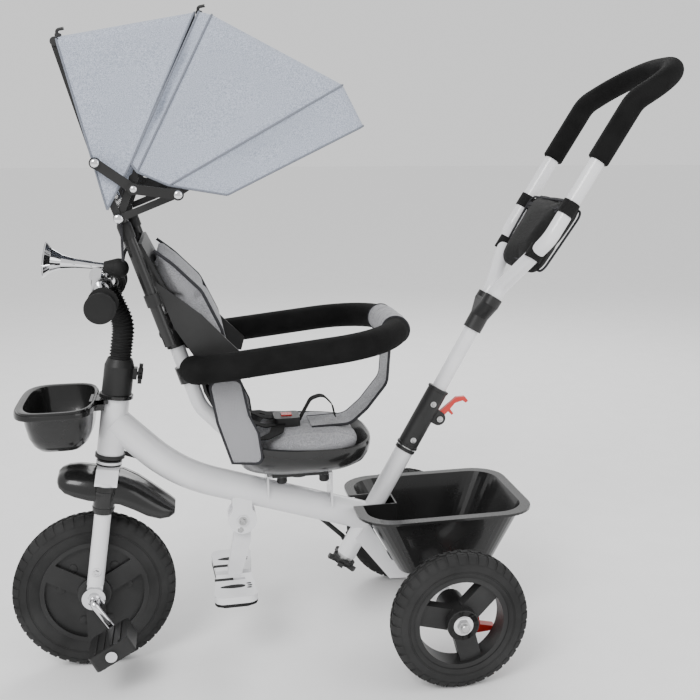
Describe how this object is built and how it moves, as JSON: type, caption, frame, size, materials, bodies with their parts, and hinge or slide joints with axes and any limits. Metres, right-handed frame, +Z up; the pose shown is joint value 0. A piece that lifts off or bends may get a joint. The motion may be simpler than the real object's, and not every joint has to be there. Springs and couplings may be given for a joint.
{
  "type": "children's tricycle",
  "caption": "Children's push tricycle with a swivel seat, a folding canopy, a bumper bar, a steerable push handle, pedals and two baskets.",
  "frame": {"origin": "on the floor, under the middle of the whole tricycle's box", "axes": "-X forward (front wheel), +Y the side away from the viewer of the near side, +Z up"},
  "size_m": [1.1138, 0.492, 1.0187],
  "materials": {
    "white_plastic": "satin moulded",
    "white_paint": "gloss powder coat",
    "steel_hardware": "zinc plated",
    "chrome_parts": "polished",
    "basket_plastic": "gloss moulded",
    "black_plastic": "fine moulded grain",
    "seat_plastic": "satin moulded",
    "wheel_plastic": "satin moulded",
    "tyre_foam": "foamed EVA with a moulded tread",
    "black_rubber": "matt",
    "black_foam": "foam in a ribbed knit skin",
    "red_plastic": "gloss moulded",
    "black_paint": "satin powder coat",
    "bag_fabric": "coated woven nylon",
    "grey_fabric": "melange weave",
    "canopy_fabric": "melange weave",
    "webbing": "woven webbing"
  },
  "bodies": {
    "frame": {"main_frame": "white_paint", "rear_axle": "steel_hardware", "rear_basket": "basket_plastic", "brake_housings": "black_plastic", "front_basket": "basket_plastic", "headset_cups": "black_plastic", "seat_bracket": "white_paint", "footrest_bracket": "white_paint"},
    "steering": {"fork": "white_paint", "fork_dropouts": "chrome_parts", "front_fender": "basket_plastic", "stem_collar": "black_plastic", "stem_bellows": "black_rubber", "handlebar": "chrome_parts", "handlebar_grips": "black_rubber", "horn_trumpet": "chrome_parts", "horn_bulb": "black_rubber"},
    "stem_knob": {"stem_knob": "black_plastic"},
    "front_wheel": {"front_tyre": "tyre_foam", "front_rim": "wheel_plastic", "crank": "chrome_parts"},
    "pedal_left": {"pedal_left": "black_plastic"},
    "pedal_right": {"pedal_right": "black_plastic"},
    "rear_wheel_left": {"rear_tyre_left": "tyre_foam", "rear_rim_left": "wheel_plastic"},
    "rear_wheel_right": {"rear_tyre_right": "tyre_foam", "rear_rim_right": "wheel_plastic"},
    "brake_left": {"brake_pedal_left": "red_plastic"},
    "brake_right": {"brake_pedal_right": "red_plastic"},
    "handle_base": {"steering_tube": "steel_hardware", "handle_clamp": "black_plastic", "handle_arm": "black_plastic"},
    "release_lever": {"release_lever": "red_plastic"},
    "push_handle": {"handle_tube": "white_paint", "handle_y_joint": "black_plastic", "handle_bow": "white_paint", "handle_foam": "black_foam", "handle_bag": "bag_fabric"},
    "steering_rod": {"steering_rod": "black_paint"},
    "footrest": {"footrest": "white_plastic"},
    "seat": {"swivel_block": "black_plastic", "seat_pan": "seat_plastic", "seat_tube": "white_paint", "back_frame": "black_paint", "back_shell": "black_plastic", "seat_cushion": "grey_fabric", "back_pad": "grey_fabric", "canopy_rear_bow": "black_paint", "crotch_panel": "grey_fabric", "harness": "webbing", "buckle": "black_plastic"},
    "buckle_button": {"buckle_button": "red_plastic"},
    "bumper": {"bumper_tube": "steel_hardware", "bumper_foam": "black_foam"},
    "canopy_mid": {"canopy_mid_bow": "black_paint", "canopy_rear_cloth": "canopy_fabric"},
    "canopy_front": {"canopy_front_bow": "black_paint", "canopy_front_cloth": "canopy_fabric"},
    "brace_rear": {"brace_rear": "black_paint"},
    "brace_front": {"brace_front": "black_paint"}
  },
  "joints": [
    {"name": "steer", "type": "hinge", "parent": "frame", "child": "steering", "pos_m": [-0.38957, 0, 0.3975], "axis": [0.1478, 0, 0.989], "range_deg": [-20, 20]},
    {"name": "stem_knob_turn", "type": "hinge", "parent": "steering", "child": "stem_knob", "pos_m": [-0.35686, 0, 0.48108], "axis": [0.989, 0, -0.1478], "range_deg": [0, 360]},
    {"name": "front_wheel_spin", "type": "hinge", "parent": "steering", "child": "front_wheel", "pos_m": [-0.43, 0, 0.127], "axis": [0, 1, 0], "continuous": true},
    {"name": "pedal_left_spin", "type": "hinge", "parent": "front_wheel", "child": "pedal_left", "pos_m": [-0.39926, -0.095, 0.07781], "axis": [0, 1, 0], "continuous": true},
    {"name": "pedal_right_spin", "type": "hinge", "parent": "front_wheel", "child": "pedal_right", "pos_m": [-0.46074, 0.095, 0.17619], "axis": [0, 1, 0], "continuous": true},
    {"name": "rear_wheel_left_spin", "type": "hinge", "parent": "frame", "child": "rear_wheel_left", "pos_m": [0.126, -0.209, 0.109], "axis": [0, 1, 0], "continuous": true},
    {"name": "rear_wheel_right_spin", "type": "hinge", "parent": "frame", "child": "rear_wheel_right", "pos_m": [0.126, 0.209, 0.109], "axis": [0, 1, 0], "continuous": true},
    {"name": "brake_left_press", "type": "hinge", "parent": "frame", "child": "brake_left", "pos_m": [0.156, -0.166, 0.105], "axis": [0, 1, 0], "range_deg": [0, 15]},
    {"name": "brake_right_press", "type": "hinge", "parent": "frame", "child": "brake_right", "pos_m": [0.156, 0.166, 0.105], "axis": [0, 1, 0], "range_deg": [0, 15]},
    {"name": "handle_turn", "type": "hinge", "parent": "frame", "child": "handle_base", "pos_m": [0.032, 0, 0.2306], "axis": [0.5, 0, 0.866], "range_deg": [-20, 20]},
    {"name": "release_lever_pull", "type": "hinge", "parent": "handle_base", "child": "release_lever", "pos_m": [0.14335, 0, 0.37647], "axis": [0, 1, 0], "range_deg": [0, 40]},
    {"name": "handle_slide", "type": "slide", "parent": "handle_base", "child": "push_handle", "axis": [-0.5, 0, -0.866], "range_m": [0, 0.1]},
    {"name": "steering_rod_swing", "type": "hinge", "parent": "steering", "child": "steering_rod", "pos_m": [-0.39778, 0.036, 0.3426], "axis": [0.1478, 0, 0.989], "range_deg": [-20, 20]},
    {"name": "footrest_fold", "type": "hinge", "parent": "frame", "child": "footrest", "pos_m": [-0.192, 0, 0.22788], "axis": [0, -1, 0], "range_deg": [0, 55]},
    {"name": "seat_swivel", "type": "hinge", "parent": "frame", "child": "seat", "pos_m": [-0.097, 0, 0.30138], "axis": [0, 0, 1], "range_deg": [0, 30]},
    {"name": "buckle_press", "type": "slide", "parent": "seat", "child": "buckle_button", "axis": [0, 0, -1], "range_m": [0, 0.002], "stiffness_N_per_m": 600, "springref_m": -0.0005},
    {"name": "bumper_swing", "type": "hinge", "parent": "seat", "child": "bumper", "pos_m": [-0.225, 0, 0.51401], "axis": [0, -1, 0], "range_deg": [0, 45]},
    {"name": "canopy_fold", "type": "hinge", "parent": "seat", "child": "canopy_mid", "pos_m": [-0.35667, 0, 0.73507], "axis": [0, -1, 0], "range_deg": [0, 30]},
    {"name": "canopy_front_fold", "type": "hinge", "parent": "canopy_mid", "child": "canopy_front", "pos_m": [-0.35667, 0, 0.73507], "axis": [0, -1, 0], "range_deg": [0, 30]},
    {"name": "brace_rear_fold", "type": "hinge", "parent": "seat", "child": "brace_rear", "pos_m": [-0.38336, 0, 0.81261], "axis": [0, -1, 0], "range_deg": [0, 121]},
    {"name": "brace_front_fold", "type": "hinge", "parent": "canopy_front", "child": "brace_front", "pos_m": [-0.27415, 0, 0.76841], "axis": [0, -1, 0], "range_deg": [-106, 0]}
  ],
  "couplings": [
    {"joint": "handle_turn", "follows": "steer", "ratio": 1},
    {"joint": "steering_rod_swing", "follows": "steer", "ratio": -1},
    {"joint": "canopy_front_fold", "follows": "canopy_fold", "ratio": 1},
    {"joint": "brace_rear_fold", "follows": "canopy_fold", "ratio": 4.0333},
    {"joint": "brace_front_fold", "follows": "canopy_fold", "ratio": -3.5333}
  ]
}
